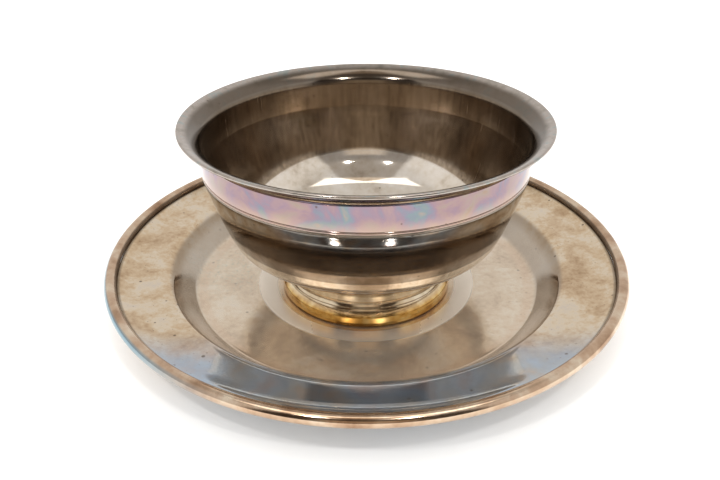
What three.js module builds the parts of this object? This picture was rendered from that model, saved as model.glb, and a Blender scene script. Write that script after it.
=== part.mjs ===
// Round sauce bowl on a low spool foot, fixed in the seat of a round under-plate.
// Millimetres, +Z up. The origin is the centre of the face that rests on the table.
import * as THREE from 'three';

// Sheet and joint sizes shared by the spun pieces
const bowlSheet = 1.0;
const plateSheet = 1.2;
const footSheet = 1.0;
const jointGap = 0.3;
const roundSegments = 72;

// Under-plate, measured on its upper face
const seatRadius = 30;
const seatHeight = plateSheet;
const wellInnerRadius = 37.3;
const wellInnerHeight = 2.3;
const wellRadius = 57.2;
const wellHeight = 2.7;
const wallTopRadius = 65.6;
const wallTopHeight = 12.0;
const wallBend = 1.8;
const rimTurnRadius = 77.4;
const rimTurnHeight = 12.3;
const rimTurnBend = 2.6;
const rimEdgeHeight = 14.3;

// Half-round border wire on the plate's edge
const plateRadius = 85;
const wireWidth = 3.7;
const wireHeight = 14.9;

// Bowl, measured on its outer face: an upright band above a shoulder, a sloping wall, a tight corner
// and a shallow bottom. The tilts are the wall's lean from upright, in degrees, where these meet.
const bandFoot = [51.15, 46.65];
const bandTop = [51.45, 55.7];
const shoulderCurve = 48;
const wallCurve = 182;
const cornerCurve = 8.5;
const tilts = [11, 16, 21.4, 62];

// The inner face leaves the outer one's curve below this height and turns a softer corner
const innerWallTop = 43.4;
const innerCurves = [215, 17.4, 50, 12];
const innerTilts = [14.2, 17.3, 40, 46, 68];
const innerSteps = [3, 4, 1, 3];

// Flared lip above the band
const lipEdge = [56.9, 60.0];
const lipCurve = 8.5;

// Two turned lines at the foot of the band
const lineHeights = [46.95, 47.65];
const lineWidth = 0.4;
const lineDepth = 0.14;

// Spool foot, measured on its outer face
const footRadius = 28.6;
const footBandTop = 4.8;
const footShoulderRadius = 27.1;
const footShoulderHeight = 6.2;
const neckRadius = 25.4;
const neckHeight = 9.0;

// Solder fillets inside the foot
const filletSize = 1.6;

const degrees = Math.PI / 180;
const point = (r, z) => new THREE.Vector2(r, z);

// Points round an arc; angles in degrees from the radial direction, anticlockwise
function arc(centre, radius, from, to, steps) {
  return Array.from({ length: steps + 1 }, (_, i) => {
    const angle = (from + (to - from) * i / steps) * degrees;
    return point(centre.x + radius * Math.cos(angle), centre.y + radius * Math.sin(angle));
  });
}

// A shallow arc of the given radius between two points, bulging to the left of the way there
function bow(start, end, radius, steps) {
  const chord = end.clone().sub(start);
  const reach = Math.sqrt(radius ** 2 - chord.lengthSq() / 4);
  const right = point(chord.y, -chord.x).normalize();
  const centre = start.clone().add(end).multiplyScalar(0.5).addScaledVector(right, reach);
  const from = Math.atan2(start.y - centre.y, start.x - centre.x);
  const sweep = 2 * Math.asin(chord.length() / 2 / radius);
  return arc(centre, radius, from / degrees, (from - sweep) / degrees, steps);
}

// Arc that goes down and in from a point as the wall leans from one tilt to another
function sweepDown(top, curve, from, to, steps) {
  const centre = point(
    top.x - curve * Math.cos(from * degrees),
    top.y + curve * Math.sin(from * degrees),
  );
  return arc(centre, curve, -from, -to, steps);
}

// Rounds the corner at a point of an outline with an arc that starts and ends `cut` away from it
function rounded(before, corner, after, cut, steps) {
  const start = corner.clone().add(before.clone().sub(corner).setLength(cut));
  const end = corner.clone().add(after.clone().sub(corner).setLength(cut));
  return new THREE.QuadraticBezierCurve(start, corner, end).getPoints(steps);
}

// The outline moved sideways to its left by `distance`, keeping points on the axis there
function offset(outline, distance) {
  return outline.map((here, i) => {
    const into = here.clone().sub(outline[Math.max(i - 1, 0)]).normalize();
    const out = outline[Math.min(i + 1, outline.length - 1)].clone().sub(here).normalize();
    const along = into.add(out).normalize();
    if (here.x === 0) {
      return point(0, here.y + distance);
    }
    const next = outline[Math.min(i + 1, outline.length - 1)].clone().sub(here);
    const turn = next.lengthSq() > 0 ? Math.abs(along.dot(next.normalize())) : 1;
    return point(here.x - along.y * distance / turn, here.y + along.x * distance / turn);
  });
}

// Height of an outline at a radius, between its points
function heightAt(outline, radius) {
  const i = outline.findIndex((here) => here.x >= radius);
  const [a, b] = [outline[i - 1], outline[i]];
  return a.y + (b.y - a.y) * (radius - a.x) / (b.x - a.x);
}

// A half circle that joins the two faces of a sheet at its edge
function edgeRound(from, to, steps) {
  const centre = from.clone().add(to).multiplyScalar(0.5);
  const start = Math.atan2(from.y - centre.y, from.x - centre.x) / degrees;
  return arc(centre, from.distanceTo(to) / 2, start, start + 180, steps).slice(1, -1);
}

function turned(name, profile, look) {
  const geometry = new THREE.LatheGeometry(profile, roundSegments);
  geometry.rotateX(Math.PI / 2);
  const mesh = new THREE.Mesh(geometry, new THREE.MeshStandardMaterial(look));
  mesh.name = name;
  return mesh;
}

const silverLook = { color: 0xc9bfb2, roughness: 0.18, metalness: 1 };
const plateLook = { color: 0xcdbfa9, roughness: 0.24, metalness: 1 };
const wireLook = { color: 0xb08d72, roughness: 0.3, metalness: 1 };
const footLook = { color: 0xcba766, roughness: 0.22, metalness: 1 };
const solderLook = { color: 0x8f8d8a, roughness: 0.45, metalness: 1 };

// Outer face of the bowl from the middle of the bottom to the lip
function bowlOutline() {
  const foot = point(...bandFoot);
  const top = point(...bandTop);
  const shoulder = sweepDown(foot, shoulderCurve, tilts[0], tilts[1], 3);
  const wall = sweepDown(shoulder.at(-1), wallCurve, tilts[1], tilts[2], 3);
  const corner = sweepDown(wall.at(-1), cornerCurve, tilts[2], tilts[3], 5);
  const bottomCurve = corner.at(-1).x / Math.cos(tilts[3] * degrees);
  const bottom = sweepDown(corner.at(-1), bottomCurve, tilts[3], 90, 8);
  bottom.at(-1).x = 0;
  const body = [...shoulder, ...wall.slice(1), ...corner.slice(1), ...bottom.slice(1)];
  const lip = bow(top, point(...lipEdge), lipCurve, 6);
  return [...body.reverse(), ...lip];
}

// Inner face of the bowl from the middle of the bottom to the lip
function bowlInnerOutline() {
  const upper = offset(bowlOutline(), bowlSheet).filter((here) => here.y > innerWallTop);
  const body = [upper[0]];
  innerCurves.forEach((curve, i) => {
    const arcDown = sweepDown(body.at(-1), curve, innerTilts[i], innerTilts[i + 1], innerSteps[i]);
    body.push(...arcDown.slice(1));
  });
  const lastTilt = innerTilts.at(-1);
  const bottomCurve = body.at(-1).x / Math.cos(lastTilt * degrees);
  body.push(...sweepDown(body.at(-1), bottomCurve, lastTilt, 90, 6).slice(1));
  body.at(-1).x = 0;
  return [...body.reverse(), ...upper.slice(1)];
}

// The outer face with the turned lines cut into the band
function withLines(outline) {
  const lean = (bandTop[0] - bandFoot[0]) / (bandTop[1] - bandFoot[1]);
  const lines = lineHeights.flatMap((z) => {
    const r = bandFoot[0] + (z - bandFoot[1]) * lean;
    return [point(r, z - lineWidth / 2), point(r - lineDepth, z), point(r, z + lineWidth / 2)];
  });
  const below = outline.filter((here) => here.y < lineHeights[0] - lineWidth / 2);
  const above = outline.filter((here) => here.y > lineHeights.at(-1) + lineWidth);
  return [...below, ...lines, ...above];
}

function makeBowl() {
  const outer = bowlOutline();
  const inner = bowlInnerOutline();
  const edge = edgeRound(outer.at(-1), inner.at(-1), 3);
  return turned('bowl', [...withLines(outer), ...edge, ...inner.reverse()], silverLook);
}

function makeUnderPlate() {
  const seatEdge = point(seatRadius, seatHeight);
  const wellStart = point(wellInnerRadius, wellInnerHeight);
  const wellEdge = point(wellRadius, wellHeight);
  const wallTop = point(wallTopRadius, wallTopHeight);
  const rimTurn = point(rimTurnRadius, rimTurnHeight);
  const rimEdge = point(plateRadius - wireWidth - jointGap, rimEdgeHeight);
  const top = [
    point(0, seatHeight),
    seatEdge,
    wellStart,
    ...rounded(wellStart, wellEdge, wallTop, wallBend, 4),
    ...rounded(wellEdge, wallTop, rimTurn, wallBend, 4),
    ...rounded(wallTop, rimTurn, rimEdge, rimTurnBend, 3),
    rimEdge,
  ];
  const under = offset(top, -plateSheet);
  return turned('under_plate', [...under, ...top.reverse()], plateLook);
}

function makeBorderWire() {
  const radius = wireWidth / 2;
  const section = arc(point(plateRadius - radius, wireHeight), radius, -180, 180, 14);
  section[section.length - 1] = section[0].clone();
  return turned('border_wire', section, wireLook);
}

// Outer face of the foot from its lower edge to the neck's top under the bowl
function footOutline() {
  const shoulder = point(footShoulderRadius, footShoulderHeight);
  const neck = point(neckRadius, neckHeight);
  const hollow = new THREE.QuadraticBezierCurve(
    shoulder,
    point(neckRadius, footShoulderHeight + 0.9),
    neck,
  );
  const neckTop = heightAt(bowlOutline(), neckRadius - footSheet) - jointGap - footSheet / 4;
  return [
    point(footRadius, seatHeight + jointGap),
    point(footRadius, footBandTop),
    ...hollow.getPoints(6),
    point(neckRadius, neckTop),
  ];
}

function makeFoot() {
  const outer = footOutline();
  const inner = offset(outer, footSheet).reverse();
  return turned('foot', [...outer, ...inner, outer[0].clone()], footLook);
}

// Fillet in the corner between the foot's bore and the plate's seat
function makeFootSolder() {
  const r = footRadius - footSheet - jointGap;
  const z = seatHeight + jointGap;
  const corners = [point(r - filletSize, z), point(r, z), point(r, z + filletSize)];
  return turned('foot_solder_seam', [...corners, corners[0].clone()], solderLook);
}

// Fillet in the corner between the neck's bore and the bowl's underside
function makeNeckSolder() {
  const r = neckRadius - footSheet - jointGap;
  const underside = (radius) => heightAt(bowlOutline(), radius) - jointGap;
  const corners = [
    point(r, underside(r) - filletSize),
    point(r, underside(r)),
    point(r - filletSize, underside(r - filletSize)),
  ];
  return turned('neck_solder_seam', [...corners, corners[0].clone()], solderLook);
}

const sauceBowl = new THREE.Group();
sauceBowl.add(
  makeUnderPlate(),
  makeBorderWire(),
  makeFoot(),
  makeFootSolder(),
  makeNeckSolder(),
  makeBowl(),
);

export default sauceBowl;
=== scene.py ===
from math import atan2, cos, degrees, hypot, pi, radians, sin, sqrt

import bpy
from mathutils import Matrix, Vector


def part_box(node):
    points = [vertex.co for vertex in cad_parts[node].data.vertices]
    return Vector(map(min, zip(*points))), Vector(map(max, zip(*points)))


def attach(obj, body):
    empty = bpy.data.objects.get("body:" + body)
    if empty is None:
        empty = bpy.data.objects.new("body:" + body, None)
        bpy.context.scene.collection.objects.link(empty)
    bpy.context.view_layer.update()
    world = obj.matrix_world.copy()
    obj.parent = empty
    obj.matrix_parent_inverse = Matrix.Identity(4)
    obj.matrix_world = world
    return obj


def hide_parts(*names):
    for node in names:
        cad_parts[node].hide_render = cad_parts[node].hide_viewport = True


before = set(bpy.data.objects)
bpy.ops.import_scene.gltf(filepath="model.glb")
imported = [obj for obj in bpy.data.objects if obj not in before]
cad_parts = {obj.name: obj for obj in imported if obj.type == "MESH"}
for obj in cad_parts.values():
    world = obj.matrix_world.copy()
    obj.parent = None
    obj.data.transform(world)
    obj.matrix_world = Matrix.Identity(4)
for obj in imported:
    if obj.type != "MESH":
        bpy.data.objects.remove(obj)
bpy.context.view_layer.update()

# Outlines are drawn in millimetres as (radius, height) and turned about the upright axis
mm = 0.001
bowlBox = [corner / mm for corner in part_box("bowl")]
plateBox = [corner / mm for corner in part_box("under_plate")]
wireBox = [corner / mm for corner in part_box("border_wire")]
footBox = [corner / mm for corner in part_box("foot")]


def linear(hexColour):  # sRGB hex to the linear colour that a socket takes
    parts = [int(hexColour[i:i + 2], 16) / 255 for i in (1, 3, 5)]
    return [c / 12.92 if c <= 0.04045 else ((c + 0.055) / 1.055) ** 2.4 for c in parts] + [1.0]


def add(tree, kind, inputs=None, **settings):  # one node with its settings, values and links
    node = tree.nodes.new(kind)
    for name, value in settings.items():
        setattr(node, name, value)
    for name, value in (inputs or {}).items():
        if isinstance(value, bpy.types.NodeSocket):
            tree.links.new(value, node.inputs[name])
        else:
            node.inputs[name].default_value = value
    return node


def maths(tree, operation, first, second=0.0, third=0.0):
    node = add(tree, "ShaderNodeMath", {0: first, 1: second, 2: third}, operation=operation)
    return node.outputs[0]


# Outline tools


def arc(centre, radius, start, end, steps):
    turns = [radians(start + (end - start) * i / steps) for i in range(steps + 1)]
    return [(centre[0] + radius * cos(t), centre[1] + radius * sin(t)) for t in turns]


def bow(start, end, radius, steps):  # shallow arc that bulges to the left of the way from start to end
    dr, dz = end[0] - start[0], end[1] - start[1]
    chord = hypot(dr, dz)
    reach = sqrt(radius ** 2 - chord ** 2 / 4) / chord
    centre = ((start[0] + end[0]) / 2 + dz * reach, (start[1] + end[1]) / 2 - dr * reach)
    first = degrees(atan2(start[1] - centre[1], start[0] - centre[0]))
    last = degrees(atan2(end[1] - centre[1], end[0] - centre[0]))
    return arc(centre, radius, first, last, steps)


def softCorner(before, corner, after, cut, steps):
    def toward(target):
        length = hypot(target[0] - corner[0], target[1] - corner[1])
        return [corner[i] + (target[i] - corner[i]) * cut / length for i in (0, 1)]
    start, end = toward(before), toward(after)
    points = []
    for step in range(steps + 1):
        t = step / steps
        weights = ((1 - t) ** 2, 2 * t * (1 - t), t ** 2)
        points.append(tuple(sum(w * p[i] for w, p in zip(weights, (start, corner, end))) for i in (0, 1)))
    return points


def line(start, end, steps):
    return [tuple(start[i] + (end[i] - start[i]) * s / steps for i in (0, 1)) for s in range(steps + 1)]


def tidyLine(points):  # drops points that sit on the one before
    kept = [points[0]]
    for here in points[1:]:
        if hypot(here[0] - kept[-1][0], here[1] - kept[-1][1]) > 0.004:
            kept.append(here)
    return kept


def offset(points, distance):  # the outline moved to its left
    moved = []
    for i, here in enumerate(points):
        back, ahead = points[max(i - 1, 0)], points[min(i + 1, len(points) - 1)]
        dr, dz = ahead[0] - back[0], ahead[1] - back[1]
        length = hypot(dr, dz)
        if here[0] < 1e-6:
            moved.append((0.0, here[1] + distance))
        else:
            moved.append((max(here[0] - dz / length * distance, 0.0), here[1] + dr / length * distance))
    return moved


def edgeRound(start, end, steps):  # half circle that joins the two faces of a sheet
    centre = ((start[0] + end[0]) / 2, (start[1] + end[1]) / 2)
    first = degrees(atan2(start[1] - centre[1], start[0] - centre[0]))
    return arc(centre, hypot(start[0] - end[0], start[1] - end[1]) / 2, first, first + 180, steps)[1:-1]


def heightAt(points, radius):
    for a, b in zip(points, points[1:]):
        if a[0] <= radius <= b[0]:
            return a[1] + (b[1] - a[1]) * (radius - a[0]) / (b[0] - a[0])


# Geometry Nodes: turns an outline about the upright axis and gives it the slight unevenness of spun sheet


def turningTree():
    tree = bpy.data.node_groups.new("turnOutline", "GeometryNodeTree")
    tree.is_modifier = True
    sockets = {
        "Outline": ("INPUT", "NodeSocketGeometry"), "Segments": ("INPUT", "NodeSocketInt"),
        "Unevenness": ("INPUT", "NodeSocketFloat"), "Wave Size": ("INPUT", "NodeSocketFloat"),
        "Seed": ("INPUT", "NodeSocketFloat"), "Finish": ("INPUT", "NodeSocketMaterial"),
        "Turned": ("OUTPUT", "NodeSocketGeometry"),
    }
    for name, (way, kind) in sockets.items():
        tree.interface.new_socket(name, in_out=way, socket_type=kind)
    given = add(tree, "NodeGroupInput").outputs
    size = add(tree, "GeometryNodeAttributeDomainSize", {"Geometry": given["Outline"]})
    columns = maths(tree, "ADD", given["Segments"], 1)
    grid = add(tree, "GeometryNodeMeshGrid", {
        "Size X": 1.0, "Size Y": 1.0, "Vertices X": columns, "Vertices Y": size.outputs["Point Count"]})
    place = add(tree, "ShaderNodeSeparateXYZ", {0: add(tree, "GeometryNodeInputPosition").outputs[0]})
    angle = maths(tree, "MULTIPLY_ADD", place.outputs["X"], 2 * pi, pi)
    lastRow = maths(tree, "SUBTRACT", size.outputs["Point Count"], 1)
    share = maths(tree, "ADD", place.outputs["Y"], 0.5)
    row = add(tree, "FunctionNodeFloatToInt", {
        0: maths(tree, "MULTIPLY", share, lastRow)}, rounding_mode="ROUND")
    outlinePoint = add(tree, "GeometryNodeSampleIndex", {
        "Geometry": given["Outline"], "Value": add(tree, "GeometryNodeInputPosition").outputs[0],
        "Index": row.outputs[0]}, data_type="FLOAT_VECTOR", domain="POINT")
    along = add(tree, "GeometryNodeInputNamedAttribute", {"Name": "alongOutline"}, data_type="FLOAT")
    outlineLength = add(tree, "GeometryNodeSampleIndex", {
        "Geometry": given["Outline"], "Value": along.outputs[0], "Index": row.outputs[0]},
        data_type="FLOAT", domain="POINT")
    stored = add(tree, "GeometryNodeStoreNamedAttribute", {
        "Geometry": grid.outputs["Mesh"], "Name": "alongOutline", "Value": outlineLength.outputs[0]},
        data_type="FLOAT", domain="POINT")
    sample = add(tree, "ShaderNodeSeparateXYZ", {0: outlinePoint.outputs[0]})
    turned = add(tree, "ShaderNodeCombineXYZ", {
        "X": maths(tree, "MULTIPLY", sample.outputs["X"], maths(tree, "COSINE", angle)),
        "Y": maths(tree, "MULTIPLY", sample.outputs["X"], maths(tree, "SINE", angle)),
        "Z": sample.outputs["Z"]})
    shaped = add(tree, "GeometryNodeSetPosition", {
        "Geometry": stored.outputs[0], "Position": turned.outputs[0]})
    joined = add(tree, "GeometryNodeMergeByDistance", {"Geometry": shaped.outputs[0], "Distance": 1e-6})
    wave = add(tree, "ShaderNodeTexNoise", {
        "W": given["Seed"], "Scale": maths(tree, "DIVIDE", 1.0, given["Wave Size"]), "Detail": 1.5},
        noise_dimensions="4D")
    lift = maths(tree, "MULTIPLY", maths(tree, "SUBTRACT", wave.outputs[0], 0.5), given["Unevenness"])
    push = add(tree, "ShaderNodeVectorMath", {
        0: add(tree, "GeometryNodeInputNormal").outputs[0], "Scale": lift}, operation="SCALE")
    uneven = add(tree, "GeometryNodeSetPosition", {
        "Geometry": joined.outputs[0], "Offset": push.outputs[0]})
    smooth = add(tree, "GeometryNodeSetShadeSmooth", {"Geometry": uneven.outputs[0], "Shade Smooth": True})
    real = add(tree, "GeometryNodeRealizeInstances", {0: smooth.outputs[0]})
    finished = add(tree, "GeometryNodeSetMaterial", {0: real.outputs[0], "Material": given["Finish"]})
    add(tree, "NodeGroupOutput", {"Turned": finished.outputs[0]})
    return tree


def turnPiece(name, outline, look, finish):  # mesh of one turned piece, its place in the mesh
    outline = tidyLine(outline)
    mesh = bpy.data.meshes.new(name + "Outline")
    edges = [(i, i + 1) for i in range(len(outline) - 1)]
    mesh.from_pydata([(r * mm, 0, z * mm) for r, z in outline], edges, [])
    lengths = [0.0]
    for a, b in zip(outline, outline[1:]):
        lengths.append(lengths[-1] + hypot(b[0] - a[0], b[1] - a[1]))
    mesh.attributes.new("alongOutline", "FLOAT", "POINT").data.foreach_set("value", lengths)
    piece = bpy.data.objects.new(name, mesh)
    bpy.context.scene.collection.objects.link(piece)
    modifier = piece.modifiers.new("turning", "NODES")
    modifier.node_group = turning
    values = {
        "Segments": look["segments"], "Unevenness": look["unevenness"] * mm,
        "Wave Size": look["waveSize"] * mm, "Seed": look["seed"], "Finish": finish,
    }
    for item in turning.interface.items_tree:
        if item.name in values:
            modifier[item.identifier] = values[item.name]
    ready = piece.evaluated_get(bpy.context.evaluated_depsgraph_get())
    turnedMesh = bpy.data.meshes.new_from_object(ready)
    piece.modifiers.clear()
    piece.data = turnedMesh
    turnedMesh.name = name
    print("turned", name, len(turnedMesh.polygons), "faces")
    return piece


turning = turningTree()
print("turning tree ready")

# Shared parts of the silver finishes


def surfacePlace(tree):  # object place in millimetres, with the radius, the angle and the way round
    spot = add(tree, "ShaderNodeTexCoord").outputs["Object"]
    place = add(tree, "ShaderNodeVectorMath", {0: spot, "Scale": 1 / mm}, operation="SCALE").outputs[0]
    split = add(tree, "ShaderNodeSeparateXYZ", {0: place}).outputs
    flat = add(tree, "ShaderNodeCombineXYZ", {"X": split["X"], "Y": split["Y"]}).outputs[0]
    radius = add(tree, "ShaderNodeVectorMath", {0: flat}, operation="LENGTH").outputs["Value"]
    angle = maths(tree, "ARCTAN2", split["Y"], split["X"])
    return {"place": place, "x": split["X"], "y": split["Y"], "height": split["Z"],
            "radius": radius, "angle": angle}


def noise(tree, vector, size, detail=3.0, seed=0.0, roughness=0.5, distortion=0.0):  # size in millimetres
    node = add(tree, "ShaderNodeTexNoise", {
        "Vector": vector, "W": seed, "Scale": 1 / size, "Detail": detail,
        "Roughness": roughness, "Distortion": distortion}, noise_dimensions="4D")
    return node.outputs[0]


def span(tree, value, low, high, toLow=0.0, toHigh=1.0):  # smooth step of a value between two limits
    return add(tree, "ShaderNodeMapRange", {
        "Value": value, "From Min": low, "From Max": high, "To Min": toLow, "To Max": toHigh},
        interpolation_type="SMOOTHSTEP").outputs[0]


def between(tree, value, low, high, soft):  # 1 inside the limits, fading over `soft`
    rise = span(tree, value, low - soft, low + soft)
    fall = span(tree, value, high - soft, high + soft, 1.0, 0.0)
    return maths(tree, "MULTIPLY", rise, fall)


def blend(tree, amount, first, second, mode="MIX"):
    node = add(tree, "ShaderNodeMix", data_type="RGBA", blend_type=mode)
    for socket, value in ((node.inputs[0], amount), (node.inputs[6], first), (node.inputs[7], second)):
        if isinstance(value, bpy.types.NodeSocket):
            tree.links.new(value, socket)
        else:
            socket.default_value = value
    return node.outputs[2]


def ramp(tree, value, stops):  # stops are (place, hex colour)
    node = add(tree, "ShaderNodeValToRGB", {0: value})
    elements = node.color_ramp.elements
    while len(elements) < len(stops):
        elements.new(0.5)
    for element, (place, colour) in zip(elements, stops):
        element.position = place
        element.color = linear(colour)
    return node.outputs[0]


# Thin lines `gap` apart that last about `length`
def hairScratches(tree, vector, gap, length, seed, amount):
    stretched = add(tree, "ShaderNodeMapping", {
        "Vector": vector, "Scale": (1 / gap, 1 / length, 1 / length), "Location": (seed, seed * 2, 0)})
    grain = add(tree, "ShaderNodeTexNoise", {"Vector": stretched.outputs[0], "Scale": 1.0, "Detail": 1.0})
    return span(tree, grain.outputs[0], 0.74 - amount, 0.8 - amount)


# Dark specks up to `size` wide, about `gap` apart, in a share of the places
def pits(tree, vector, gap, size, seed, share):
    moved = add(tree, "ShaderNodeVectorMath", {0: vector, 1: (seed, seed, seed)}).outputs[0]
    cells = add(tree, "ShaderNodeTexVoronoi", {"Vector": moved, "Scale": 1 / gap})
    chance = add(tree, "ShaderNodeSeparateColor", {0: cells.outputs["Color"]}).outputs
    reach = maths(tree, "MULTIPLY", chance[1], size / gap)
    speck = span(tree, maths(tree, "SUBTRACT", cells.outputs["Distance"], reach), -0.02, 0.05, 1.0, 0.0)
    kept = maths(tree, "LESS_THAN", chance[0], share)
    return maths(tree, "MULTIPLY", speck, kept)


def newFinish(name):
    finish = bpy.data.materials.new(name)
    finish.use_nodes = True
    finish.node_tree.nodes.clear()
    return finish, finish.node_tree


def closeFinish(tree, colour, roughness, height, depth, metallic=1.0):  # bump depth in millimetres
    bump = add(tree, "ShaderNodeBump", {"Height": height, "Strength": 1.0, "Distance": depth * mm})
    shader = add(tree, "ShaderNodeBsdfPrincipled", {
        "Base Color": colour, "Metallic": metallic, "Roughness": roughness, "Normal": bump.outputs[0]})
    add(tree, "ShaderNodeOutputMaterial", {"Surface": shader.outputs[0]})


# Bowl

bowl = {
    "sheet": 1.0, "bandFoot": (51.15, 46.65), "bandTop": (51.45, 55.7), "creaseBend": 0.7,
    "lip": (bowlBox[1].x - 0.37, bowlBox[1].z - 0.98), "lipCurve": 8.5,
    "shoulderCurve": 48.0, "wallCurve": 182.0, "cornerCurve": 8.5, "tilts": (11.0, 16.0, 21.4, 62.0),
    "lineHeights": (46.95, 47.65), "lineWidth": 0.4, "lineDepth": 0.14,
    "innerWallTop": 43.4, "innerCurves": (215.0, 17.4, 50.0, 12.0),
    "innerTilts": (14.2, 17.3, 40.0, 46.0, 68.0),
    "bellyFoot": 28.0, "peachRise": 5.0, "lipWidths": 2.2, "creaseShare": 0.55,
    "discEdgeBack": 5.6, "discEdgeRadius": 40.2, "discEdgeSoft": 0.3,
    "segments": 256, "unevenness": 0.035, "waveSize": 24.0, "seed": 3.0,
}


def sweepDown(top, curve, tilts, steps):  # arc from a point down and in, as the wall tips from upright
    start, end = tilts
    centre = (top[0] - curve * cos(radians(start)), top[1] + curve * sin(radians(start)))
    return arc(centre, curve, -start, -end, steps)


def bowlOuter():
    tilts = bowl["tilts"]
    shoulder = sweepDown(bowl["bandFoot"], bowl["shoulderCurve"], tilts[0:2], 12)
    wall = sweepDown(shoulder[-1], bowl["wallCurve"], tilts[1:3], 24)
    corner = sweepDown(wall[-1], bowl["cornerCurve"], tilts[2:4], 20)
    bottomCurve = corner[-1][0] / cos(radians(tilts[3]))
    bottom = sweepDown(corner[-1], bottomCurve, (tilts[3], 90), 36)
    bottom[-1] = (0.0, bottom[-1][1])
    body = (shoulder + wall[1:] + corner[1:] + bottom[1:])[::-1]
    flare = bow(bowl["bandTop"], bowl["lip"], bowl["lipCurve"], 20)
    bend = softCorner(bowl["bandFoot"], bowl["bandTop"], flare[3], bowl["creaseBend"], 6)
    return tidyLine(body + line(bowl["bandFoot"], bend[0], 16)[1:] + bend[1:] + flare[3:])


def bowlInner(outer):  # follows the outer face down to the wall, then has its own softer corner
    upper = [here for here in offset(outer, bowl["sheet"]) if here[1] > bowl["innerWallTop"]]
    tilts = bowl["innerTilts"]
    body = [upper[0]]
    for curve, start, end in zip(bowl["innerCurves"], tilts, tilts[1:]):
        body += sweepDown(body[-1], curve, (start, end), 16)[1:]
    body += sweepDown(body[-1], body[-1][0] / cos(radians(tilts[-1])), (tilts[-1], 90), 30)[1:]
    body[-1] = (0.0, body[-1][1])
    return body[::-1] + upper[1:]


def bowlLines(outer):  # the two turned lines, cut into the outer face
    foot, top = bowl["bandFoot"], bowl["bandTop"]
    lean = (top[0] - foot[0]) / (top[1] - foot[1])
    cuts = []
    for height in bowl["lineHeights"]:
        for step in (-3, -2, -1, 0, 1, 2, 3):
            z = height + step * bowl["lineWidth"] / 6
            depth = bowl["lineDepth"] * (0.5 + 0.5 * cos(step * pi / 3))
            cuts.append((foot[0] + max(z - foot[1], 0) * lean - depth, z))
    low, high = cuts[0][1], cuts[-1][1]
    return [p for p in outer if p[1] < low] + cuts + [p for p in outer if p[1] > high]


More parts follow.
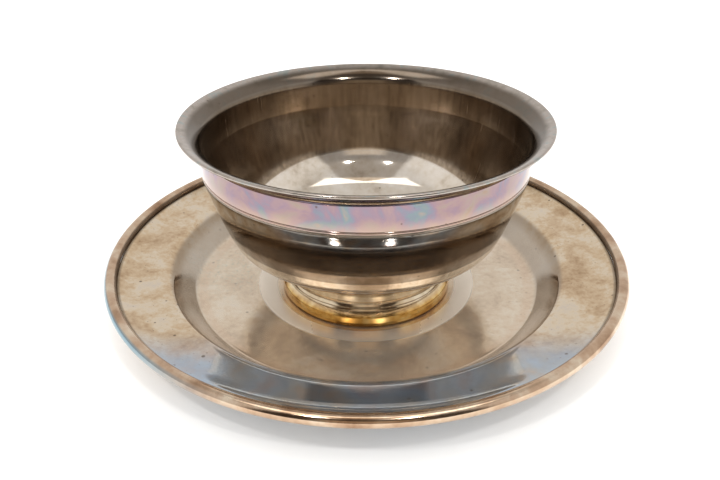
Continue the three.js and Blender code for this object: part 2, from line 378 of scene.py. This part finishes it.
def polishedBowlSilver():
    # Electroplated silver, spun and buffed: a near mirror with cloudy brown tarnish. The band under the
    # lip has thin sulphide colours, lilac to teal. The belly below the band is darkened as painted dark
    # reflection, and the lip's inner face as painted shade towards its crease. The wall inside is the
    # dullest and brown, partly real tarnish where sauce sat on it, with a crisp lower edge that is a
    # painted reflection edge; the bottom is left pale and partly diffuse, painted brightness for the bright
    # reflection in it.
    finish, tree = newFinish("buffedSilverPlate")
    here = surfacePlace(tree)
    along = add(tree, "ShaderNodeAttribute", attribute_name="alongOutline").outputs["Fac"]
    clouds = noise(tree, here["place"], 14, 5, 1.0, 0.6)
    fineClouds = noise(tree, here["place"], 2.2, 4, 5.0, 0.6)
    mottled = maths(tree, "MULTIPLY_ADD", fineClouds, 0.35, maths(tree, "MULTIPLY", clouds, 0.65))
    silver = ramp(tree, mottled, [(0.30, "#AD9C88"), (0.46, "#D6CBBC"), (0.62, "#E6DED4")])

    film = noise(tree, here["place"], 10, 4, 9.0, 0.55, 0.6)
    filmColour = ramp(tree, film, [
        (0.30, "#8F857F"), (0.37, "#6C8087"), (0.42, "#777789"), (0.48, "#887181"), (0.55, "#947A7D"),
        (0.63, "#92827A"), (0.72, "#967358")])
    bandLow = bowl["bandFoot"][1]
    peach = span(tree, here["height"], bandLow, bandLow + bowl["peachRise"], 0.65, 0.0)
    filmColour = blend(tree, peach, filmColour, linear("#C2A791"))
    bandMask = between(tree, along, bandRange[0], bandRange[1] + 0.4, 0.12)
    colour = blend(tree, maths(tree, "MULTIPLY", bandMask, 0.92), silver, filmColour)

    # painted dark reflection: the belly below the band is darkened where it mirrors the dark room and plate
    # rim; the brown under it is real tarnish
    paintedBellyReflection = between(tree, along, bellyStart, bandRange[0], 0.3)
    colour = blend(tree, maths(tree, "MULTIPLY", paintedBellyReflection, 0.75), colour, ramp(tree, mottled, [
        (0.34, "#57493B"), (0.52, "#796B5D"), (0.66, "#95877A")]))

    insideMask = span(tree, along, lipRange[1], lipRange[1] + 1.2)
    # the brown inner wall ends at a crisp circle set towards the back: a painted reflection edge where the
    # lip shows mirrored in the bottom; the brown itself is partly real tarnish
    fromPatch = add(tree, "ShaderNodeCombineXYZ", {
        "X": here["x"], "Y": maths(tree, "SUBTRACT", here["y"], bowl["discEdgeBack"])}).outputs[0]
    reach = add(tree, "ShaderNodeVectorMath", {0: fromPatch}, operation="LENGTH").outputs["Value"]
    patchEdge = (bowl["discEdgeRadius"] - bowl["discEdgeSoft"], bowl["discEdgeRadius"] + bowl["discEdgeSoft"])
    wallMask = maths(tree, "MULTIPLY", insideMask, span(tree, reach, *patchEdge))
    around = maths(tree, "MULTIPLY", here["angle"], 50.0)
    streakPlace = add(tree, "ShaderNodeCombineXYZ", {
        "X": here["x"], "Y": here["y"], "Z": maths(tree, "MULTIPLY", here["height"], 0.12)}).outputs[0]
    streaks = noise(tree, streakPlace, 1.5, 4, 2.0, 0.6)
    brown = ramp(tree, maths(tree, "MULTIPLY_ADD", streaks, 0.5, maths(tree, "MULTIPLY", clouds, 0.5)), [
        (0.34, "#66543F"), (0.5, "#93806A"), (0.66, "#AD9C87")])
    colour = blend(tree, maths(tree, "MULTIPLY", wallMask, 0.9), colour, brown)

    lipMask = between(tree, along, lipRange[0], lipRange[1], 0.4)
    lipColour = ramp(tree, noise(tree, here["place"], 5, 6, 12.0, 0.7), [
        (0.32, "#77726A"), (0.43, "#9C938A"), (0.53, "#ACA19A"), (0.62, "#8F9C9B"), (0.72, "#AF9590")])
    colour = blend(tree, maths(tree, "MULTIPLY", lipMask, 0.85), colour, lipColour)
    # painted shade: the inner face of the lip darkens towards the crease where it meets the wall
    creaseStart = lipRange[0] + bowl["creaseShare"] * lipLength
    creasePaintedShade = between(tree, along, creaseStart, lipRange[1] + 1.5, 1.2)
    colour = blend(tree, maths(tree, "MULTIPLY", creasePaintedShade, 0.85), colour, linear("#5B4F42"))

    specks = pits(tree, here["place"], 3.0, 0.4, 4.0, 0.3)
    colour = blend(tree, maths(tree, "MULTIPLY", specks, 0.6), colour, linear("#4A3A2C"))

    scratchPlace = add(tree, "ShaderNodeCombineXYZ", {
        "X": around, "Y": maths(tree, "MULTIPLY", here["height"], 0.1)}).outputs[0]
    scratches = hairScratches(tree, scratchPlace, 0.35, 2.0, 3.0, 0.02)
    spun = noise(tree, add(tree, "ShaderNodeCombineXYZ", {"X": along}).outputs[0], 0.45, 3, 6.0)
    roughness = maths(tree, "MULTIPLY_ADD", mottled, 0.10, 0.01)
    roughness = maths(tree, "MULTIPLY_ADD", wallMask, 0.17, roughness)
    roughness = maths(tree, "MULTIPLY_ADD", lipMask, 0.10, roughness)
    roughness = maths(tree, "MULTIPLY_ADD", scratches, 0.05, roughness)
    height = maths(tree, "MULTIPLY_ADD", scratches, -0.3, maths(tree, "MULTIPLY", specks, -1.0))
    height = maths(tree, "MULTIPLY_ADD", spun, 0.15, height)
    metallic = maths(tree, "MULTIPLY_ADD", maths(tree, "SUBTRACT", insideMask, wallMask), -0.28, 1.0)
    closeFinish(tree, colour, roughness, height, 0.012, metallic)
    return finish


outer = bowlOuter()
inner = bowlInner(outer)
rounding = edgeRound(outer[-1], inner[-1], 8)
bowlOutline = tidyLine(bowlLines(outer) + rounding + inner[::-1])


def alongAt(outline, test):  # length along an outline to the first point that meets a test
    total = 0.0
    for a, b in zip(outline, outline[1:]):
        total += hypot(b[0] - a[0], b[1] - a[1])
        if test(b):
            return total
    return total


bandRange = (alongAt(bowlOutline, lambda p: p[1] > bowl["lineHeights"][0]),
             alongAt(bowlOutline, lambda p: p[1] > bowl["bandTop"][1]))
bellyStart = alongAt(bowlOutline, lambda p: p[1] > bowl["bellyFoot"])
lipLength = hypot(bowl["lip"][0] - bowl["bandTop"][0], bowl["lip"][1] - bowl["bandTop"][1])
lipRange = (bandRange[1] + lipLength, bandRange[1] + bowl["lipWidths"] * lipLength)
bowlPiece = turnPiece("bowlShell", bowlOutline, bowl, polishedBowlSilver())

# Foot

foot = {
    "sheet": 1.0, "radius": footBox[1].x, "bottom": footBox[0].z, "bandTop": 4.8, "shoulderRadius": 27.1,
    "shoulderHeight": 6.2, "neckRadius": 25.4, "neckHeight": 9.0, "topGap": 0.35, "bend": 0.3,
    "segments": 224, "unevenness": 0.04, "waveSize": 14.0, "seed": 5.0,
}


def footOutline():
    shoulder = (foot["shoulderRadius"], foot["shoulderHeight"])
    neck = (foot["neckRadius"], foot["neckHeight"])
    top = (foot["neckRadius"], heightAt(outer, foot["neckRadius"] - foot["sheet"]) - foot["topGap"])
    foothold = (foot["radius"], foot["bottom"])
    bandEnd = (foot["radius"], foot["bandTop"])
    hollow = softCorner(shoulder, (foot["neckRadius"], foot["shoulderHeight"] + 0.9), top, 1.9, 14)
    face = line(foothold, bandEnd, 6)[:-1] + softCorner(foothold, bandEnd, shoulder, foot["bend"], 5)
    face += softCorner(bandEnd, shoulder, hollow[0], foot["bend"], 4) + hollow + line(neck, top, 4)[1:]
    face = tidyLine(face)
    return face + offset(face, foot["sheet"])[::-1] + [face[0]]


def yellowedFootSilver():
    # The same plate where a cloth can't reach: a yellow to gold sulphide film, fine rings from spinning.
    finish, tree = newFinish("yellowedSilverPlate")
    here = surfacePlace(tree)
    clouds = noise(tree, here["place"], 5, 4, 3.0, 0.6)
    gold = ramp(tree, clouds, [(0.32, "#9A6B2C"), (0.48, "#CFA257"), (0.64, "#E2C688")])
    pale = ramp(tree, clouds, [(0.34, "#CDBB9C"), (0.6, "#E6DCCB")])
    goldMask = span(tree, here["height"], foot["bandTop"] - 0.2, foot["shoulderHeight"] + 0.5, 1.0, 0.25)
    colour = blend(tree, goldMask, pale, gold)
    section = add(tree, "ShaderNodeCombineXYZ", {"X": here["height"], "Y": here["radius"]}).outputs[0]
    rings = noise(tree, section, 0.35, 2, 6.0)
    roughness = maths(tree, "MULTIPLY_ADD", clouds, 0.14, 0.06)
    closeFinish(tree, colour, roughness, rings, 0.012)
    return finish


footPiece = turnPiece("spoolFoot", footOutline(), foot, yellowedFootSilver())

# Under-plate

plate = {
    "sheet": 1.2, "seatRadius": 30.0, "seatHeight": 1.2, "wellStart": 37.3, "wellStartHeight": 2.3,
    "wellRadius": 57.2, "wellHeight": 2.7, "wallTopRadius": 65.6, "wallTopHeight": 12.0, "wallBend": 1.8,
    "crestBend": 2.4, "rimBendRadius": 77.4, "rimBendHeight": 12.3, "rimBend": 3.0,
    "rimEdgeRadius": plateBox[1].x - 0.24, "rimEdgeHeight": 14.3,
    "seatRing": (30.6, 37.0), "seatReflectionSides": (14.0, 18.5), "footFade": (28.4, 31.0),
    "edgeRing": (54.0, 57.0), "wallPaintedShade": (57.8, 65.0), "rimFade": (61.0, 64.0),
    "nearFade": (-62.0, -42.0), "grimeFade": (80.2, 80.9), "bloomAt": (-47.0, 2.0, 2.0),
    "bloomFade": (4.0, 24.0),
    "segments": 288, "unevenness": 0.07, "waveSize": 38.0, "seed": 8.0,
}


def plateOutline():
    seat = (plate["seatRadius"], plate["seatHeight"])
    wellStart = (plate["wellStart"], plate["wellStartHeight"])
    well = (plate["wellRadius"], plate["wellHeight"])
    wallTop = (plate["wallTopRadius"], plate["wallTopHeight"])
    rimEdge = (plate["rimEdgeRadius"], plate["rimEdgeHeight"])
    centre = (0.0, plate["seatHeight"])
    seatBend = softCorner(centre, seat, wellStart, 0.5, 4)
    stepBend = softCorner(seat, wellStart, well, 0.4, 4)
    wellBend = softCorner(wellStart, well, wallTop, plate["wallBend"], 8)
    rimTurn = (plate["rimBendRadius"], plate["rimBendHeight"])
    crestBend = softCorner(well, wallTop, rimTurn, plate["crestBend"], 10)
    rimBend = softCorner(wallTop, rimTurn, rimEdge, plate["rimBend"], 10)
    face = line(centre, seatBend[0], 6) + seatBend[1:]
    face += line(seatBend[-1], stepBend[0], 4)[1:] + stepBend[1:]
    face += line(stepBend[-1], wellBend[0], 10)[1:] + wellBend[1:]
    face += line(wellBend[-1], crestBend[0], 4)[1:] + crestBend[1:]
    face += line(crestBend[-1], rimBend[0], 8)[1:] + rimBend[1:] + line(rimBend[-1], rimEdge, 2)[1:]
    under = offset(face, -plate["sheet"])
    return under + face[::-1]


def wornPlateSilver():
    # Worn electroplate on a brassy base: warm champagne, polished by years of wiping, with brown clouds,
    # small corrosion pits, a blue-grey painted reflection on the near rim, painted shade on the well's
    # wall, a bloom of teal specks at the well's left and a dull ring round the foot, pale with painted
    # reflection, lighter at its sides.
    finish, tree = newFinish("wornSilverPlate")
    here = surfacePlace(tree)
    clouds = noise(tree, here["place"], 15, 5, 2.0, 0.62, 0.5)
    fine = noise(tree, here["place"], 1.6, 4, 7.0, 0.6)
    mottled = maths(tree, "MULTIPLY_ADD", fine, 0.3, maths(tree, "MULTIPLY", clouds, 0.7))
    colour = ramp(tree, mottled, [
        (0.30, "#8A7052"), (0.40, "#B49878"), (0.50, "#CDB596"), (0.58, "#D9C9B2"), (0.70, "#CFC3B6")])

    rimOnly = span(tree, here["radius"], *plate["rimFade"])
    nearRimPaintedReflection = maths(tree, "MULTIPLY", rimOnly, span(tree, here["y"], *plate["nearFade"], 1.0, 0.0))
    # painted reflection: the near rim is tinted blue-grey where it mirrors the bowl's lilac band and dark
    # belly
    film = noise(tree, here["place"], 11, 4, 14.0, 0.5)
    filmColour = ramp(tree, film, [
        (0.32, "#A9A3A6"), (0.46, "#9FB0C2"), (0.58, "#A7AEB4"), (0.70, "#B9A797")])
    colour = blend(tree, maths(tree, "MULTIPLY", nearRimPaintedReflection, 0.9), colour, filmColour)

    wellOnly = maths(tree, "SUBTRACT", 1.0, rimOnly)
    edgeRing = between(tree, here["radius"], *plate["edgeRing"], 0.8)
    colour = blend(tree, maths(tree, "MULTIPLY", edgeRing, 0.35), colour, linear("#C9A17C"))
    # painted shade: the well's sloping wall is darkened where it shows a dark reflection
    wallPaintedShade = between(tree, here["radius"], *plate["wallPaintedShade"], 0.8)
    colour = blend(tree, maths(tree, "MULTIPLY", wallPaintedShade, 0.7), colour, linear("#857565"))
    toBloom = add(tree, "ShaderNodeVectorMath", {
        0: here["place"], 1: plate["bloomAt"]}, operation="DISTANCE")
    bloom = span(tree, toBloom.outputs["Value"], *plate["bloomFade"], 1.0, 0.0)
    tealSpecks = noise(tree, here["place"], 0.8, 4, 3.0, 0.7)
    tealAmount = maths(tree, "MULTIPLY", span(tree, tealSpecks, 0.5, 0.66), bloom)
    colour = blend(tree, maths(tree, "MULTIPLY", tealAmount, 0.55), colour, linear("#86A79E"))

    specks = pits(tree, here["place"], 3.4, 0.5, 1.0, 0.35)
    fineSpecks = pits(tree, here["place"], 1.2, 0.22, 6.0, 0.5)
    colour = blend(tree, maths(tree, "MULTIPLY", specks, 0.7), colour, linear("#4E3C2B"))
    colour = blend(tree, maths(tree, "MULTIPLY", fineSpecks, 0.45), colour, linear("#6B5440"))
    nearFoot = span(tree, here["radius"], *plate["footFade"], 1.0, 0.0)
    colour = blend(tree, maths(tree, "MULTIPLY", nearFoot, 0.7), colour, linear("#B98B45"))
    # painted reflection: the pale ring round the foot is lighter at the sides and dimmer across the middle,
    # as the white surroundings and darker room would show in it; it is also made rougher and less metallic
    seatSideReflection = span(tree, maths(tree, "ABSOLUTE", here["x"]), *plate["seatReflectionSides"], 0.6, 1.0)
    seatRing = maths(tree, "MULTIPLY", between(tree, here["radius"], *plate["seatRing"], 0.35), seatSideReflection)
    colour = blend(tree, maths(tree, "MULTIPLY", wellOnly, 0.45), colour, linear("#D2C9BC"))
    colour = blend(tree, maths(tree, "MULTIPLY", seatRing, 0.85), colour, linear("#ECE2D4"))
    wellWear = maths(tree, "MULTIPLY", wellOnly, maths(tree, "SUBTRACT", 1.0, seatRing))
    grime = maths(tree, "MULTIPLY", span(tree, here["radius"], *plate["grimeFade"]), 0.6)
    colour = blend(tree, grime, colour, linear("#5A4E41"))

    rings = noise(tree, add(tree, "ShaderNodeCombineXYZ", {"X": here["radius"]}).outputs[0], 0.5, 3, 4.0)
    scratches = hairScratches(tree, here["place"], 0.4, 14.0, 5.0, 0.0)
    roughness = maths(tree, "MULTIPLY_ADD", mottled, 0.14, 0.0)
    roughness = maths(tree, "MULTIPLY_ADD", scratches, 0.05, roughness)
    roughness = maths(tree, "MULTIPLY_ADD", grime, 0.4, roughness)
    roughness = maths(tree, "MULTIPLY_ADD", wellWear, 0.08, roughness)
    roughness = maths(tree, "MULTIPLY_ADD", seatRing, 0.22, roughness)
    height = maths(tree, "MULTIPLY_ADD", specks, -1.0, maths(tree, "MULTIPLY", rings, 0.12))
    metallic = maths(tree, "MULTIPLY_ADD", seatRing, -0.45, 1.0)
    metallic = maths(tree, "MULTIPLY_ADD", wellWear, -0.24, metallic)
    metallic = maths(tree, "MULTIPLY_ADD", nearRimPaintedReflection, -0.12, metallic)
    closeFinish(tree, colour, roughness, height, 0.014, metallic)
    return finish


platePiece = turnPiece("platePan", plateOutline(), plate, wornPlateSilver())

# Border wire

wire = {
    "radius": wireBox[1].x, "width": 3.7, "height": (wireBox[0].z + wireBox[1].z) / 2, "points": 28,
    "outerDepths": (1.2, 0.3), "grimeDepths": (3.55, 3.1), "leftFade": (-70.0, -30.0),
    "segments": 288, "unevenness": 0.03, "waveSize": 20.0, "seed": 11.0,
}


def wireOutline():
    half = wire["width"] / 2
    section = arc((wire["radius"] - half, wire["height"]), half, -180, 180, wire["points"])
    section[-1] = section[0]
    return section


def rubbedBorderSilver():
    # Border wire handled at every lift: the silver is rubbed thin, so the copper base warms it. Dirt fills
    # the groove along its inner side.
    finish, tree = newFinish("rubbedSilverPlate")
    here = surfacePlace(tree)
    clouds = noise(tree, here["place"], 9, 4, 6.0, 0.6)
    colour = ramp(tree, clouds, [(0.32, "#9C7C62"), (0.5, "#C2A68C"), (0.68, "#DAC9B3")])
    outerSide = span(tree, here["radius"], *[wire["radius"] - depth for depth in wire["outerDepths"]])
    toLeft = span(tree, here["x"], *wire["leftFade"], 1.0, 0.0)
    colour = blend(tree, maths(tree, "MULTIPLY", outerSide, toLeft), colour, linear("#7D97A3"))
    grimeFade = [wire["radius"] - depth for depth in wire["grimeDepths"]]
    grime = maths(tree, "MULTIPLY", span(tree, here["radius"], *grimeFade, 1.0, 0.0), 0.7)
    colour = blend(tree, grime, colour, linear("#564A3D"))
    roughness = maths(tree, "MULTIPLY_ADD", clouds, 0.2, 0.04)
    roughness = maths(tree, "MULTIPLY_ADD", grime, 0.4, roughness)
    dents = noise(tree, here["place"], 2.5, 3, 8.0)
    closeFinish(tree, colour, roughness, dents, 0.02)
    return finish


wirePiece = turnPiece("borderWire", wireOutline(), wire, rubbedBorderSilver())


def dullSolder():
    # Soft solder, never polished: a grey satin with a lumpy skin.
    finish, tree = newFinish("softSolder")
    here = surfacePlace(tree)
    lumps = noise(tree, here["place"], 0.9, 3, 2.0)
    colour = ramp(tree, lumps, [(0.35, "#77746F"), (0.65, "#A3A09B")])
    closeFinish(tree, colour, maths(tree, "MULTIPLY_ADD", lumps, 0.2, 0.35), lumps, 0.1)
    return finish


solder = dullSolder()
for seam in ("foot_solder_seam", "neck_solder_seam"):
    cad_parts[seam].data.materials.clear()
    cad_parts[seam].data.materials.append(solder)

# Every piece rides on the one body, and the CAD part it replaces is hidden

for piece, node in ((bowlPiece, "bowl"), (footPiece, "foot"), (platePiece, "under_plate"),
                    (wirePiece, "border_wire")):
    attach(piece, "root")
    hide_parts(node)
print("pieces ride on the frame")

# Studio: pale floor and walls, a broad soft light overhead, a dim room behind the camera, two soft lamps

studio = {
    "floorSize": 6.0, "floorColour": "#F4F3F1", "floorLight": 1.6,
    "walls": "#F2F0EE", "ceiling": "#CDCBC8", "ceilingFade": (46, 60),
    "room": "#776C60", "dimRoom": "#453B33", "roomSide": (48, 40), "roomFade": (42, 54),
    "roomGlow": "#D6C6B2", "glowSide": (24, 8), "glowTop": 36,
    "overheadStrength": 3.4, "overheadSide": 0.50, "overheadFront": 0.29,
    "overheadBack": -0.10, "overheadSoft": 0.05,
    "lampDistance": 0.75, "lampSize": 0.04, "lampPower": 0.7, "lampAngles": ((-28.0, 56.0), (21.0, 56.0)),
}


def makeFloor():
    half = studio["floorSize"] / 2
    corners = [(-half, -half, 0), (half, -half, 0), (half, half, 0), (-half, half, 0)]
    floorMesh = bpy.data.meshes.new("floor")
    floorMesh.from_pydata(corners, [], [(0, 1, 2, 3)])
    floor = bpy.data.objects.new("floor", floorMesh)
    bpy.context.scene.collection.objects.link(floor)
    paint, tree = newFinish("paleFloor")
    shader = add(tree, "ShaderNodeBsdfPrincipled", {
        "Base Color": linear(studio["floorColour"]), "Roughness": 0.9, "Specular IOR Level": 0.0})
    add(tree, "ShaderNodeOutputMaterial", {"Surface": shader.outputs[0]})
    floorMesh.materials.append(paint)


def makeWorld():  # what the silver reflects; everything else is lit by plain pale walls
    world = bpy.data.worlds.new("studio")
    world.use_nodes = True
    bpy.context.scene.world = world
    tree = world.node_tree
    tree.nodes.clear()
    seenWay = add(tree, "ShaderNodeTexCoord").outputs["Generated"]
    way = add(tree, "ShaderNodeSeparateXYZ", {0: seenWay}).outputs
    squareRise = maths(tree, "MULTIPLY", way["Z"], way["Z"])
    level = maths(tree, "SQRT", maths(tree, "SUBTRACT", 1.0001, squareRise))
    front = maths(tree, "DIVIDE", maths(tree, "MULTIPLY", way["Y"], -1.0), level)
    ceilingShare = span(tree, way["Z"], *[sin(radians(a)) for a in studio["ceilingFade"]])
    colour = blend(tree, ceilingShare, linear(studio["walls"]), linear(studio["ceiling"]))
    roomShare = span(tree, front, *[cos(radians(a)) for a in studio["roomSide"]])
    upperShare = span(tree, way["Z"], *[sin(radians(a)) for a in studio["roomFade"]])
    room = blend(tree, upperShare, linear(studio["dimRoom"]), linear(studio["room"]))
    glowAcross = span(tree, front, *[cos(radians(a)) for a in studio["glowSide"]])
    glowUp = between(tree, way["Z"], 0.05, sin(radians(studio["glowTop"])), 0.04)
    glow = maths(tree, "MULTIPLY", glowAcross, glowUp)
    room = blend(tree, maths(tree, "MULTIPLY", glow, 0.8), room, linear(studio["roomGlow"]))
    colour = blend(tree, roomShare, colour, room)
    rise = maths(tree, "MAXIMUM", way["Z"], 0.05)
    across = maths(tree, "ABSOLUTE", maths(tree, "DIVIDE", way["X"], rise))
    ahead = maths(tree, "DIVIDE", maths(tree, "MULTIPLY", way["Y"], -1.0), rise)
    soft = studio["overheadSoft"]
    inSide = span(tree, across, studio["overheadSide"] - soft, studio["overheadSide"] + soft, 1.0, 0.0)
    overhead = maths(tree, "MULTIPLY", inSide,
                     between(tree, ahead, studio["overheadBack"], studio["overheadFront"], soft))
    glossy = add(tree, "ShaderNodeLightPath").outputs["Is Glossy Ray"]
    seen = blend(tree, glossy, linear("#FFFFFF"), colour)
    plain = maths(tree, "MULTIPLY_ADD", glossy, 1.0 - studio["floorLight"], studio["floorLight"])
    strength = maths(tree, "MULTIPLY_ADD", maths(tree, "MULTIPLY", overhead, glossy),
                     studio["overheadStrength"], plain)
    background = add(tree, "ShaderNodeBackground", {"Color": seen, "Strength": strength})
    add(tree, "ShaderNodeOutputWorld", {"Surface": background.outputs[0]})


def makeLamps():
    for number, (turn, rise) in enumerate(studio["lampAngles"]):
        lamp = bpy.data.lights.new(f"lamp{number}", "AREA")
        lamp.shape = "DISK"
        lamp.size = studio["lampSize"]
        lamp.energy = studio["lampPower"]
        holder = bpy.data.objects.new(f"lamp{number}", lamp)
        bpy.context.scene.collection.objects.link(holder)
        turnAngle, riseAngle = radians(turn), radians(rise)
        way = Vector((sin(turnAngle) * cos(riseAngle), -cos(turnAngle) * cos(riseAngle), sin(riseAngle)))
        holder.location = way * studio["lampDistance"]
        holder.rotation_euler = way.to_track_quat("Z", "Y").to_euler()


makeFloor()
makeWorld()
makeLamps()
print("studio ready")

# Camera on the near side, about 30 degrees above the table, a plate's width and a half away

view = {"lens": 34.77, "rise": 29.82, "roll": -0.344, "distance": 2.784, "right": -0.0232, "up": 0.0171}


def makeCamera():
    camera = bpy.data.objects.new("camera", bpy.data.cameras.new("camera"))
    bpy.context.scene.collection.objects.link(camera)
    camera.data.lens = view["lens"]
    camera.data.clip_start = 0.01
    rise = Matrix.Rotation(radians(90 - view["rise"]), 4, "X")
    turn = rise @ Matrix.Rotation(radians(view["roll"]), 4, "Z")
    reach = wire["radius"] * mm
    step = turn @ Vector((view["right"] * reach, view["up"] * reach, view["distance"] * reach))
    camera.matrix_world = Matrix.Translation(step + Vector((0, 0, wire["height"] * mm))) @ turn
    bpy.context.scene.camera = camera


makeCamera()
bpy.context.scene.view_settings.view_transform = "Standard"
print("camera ready")
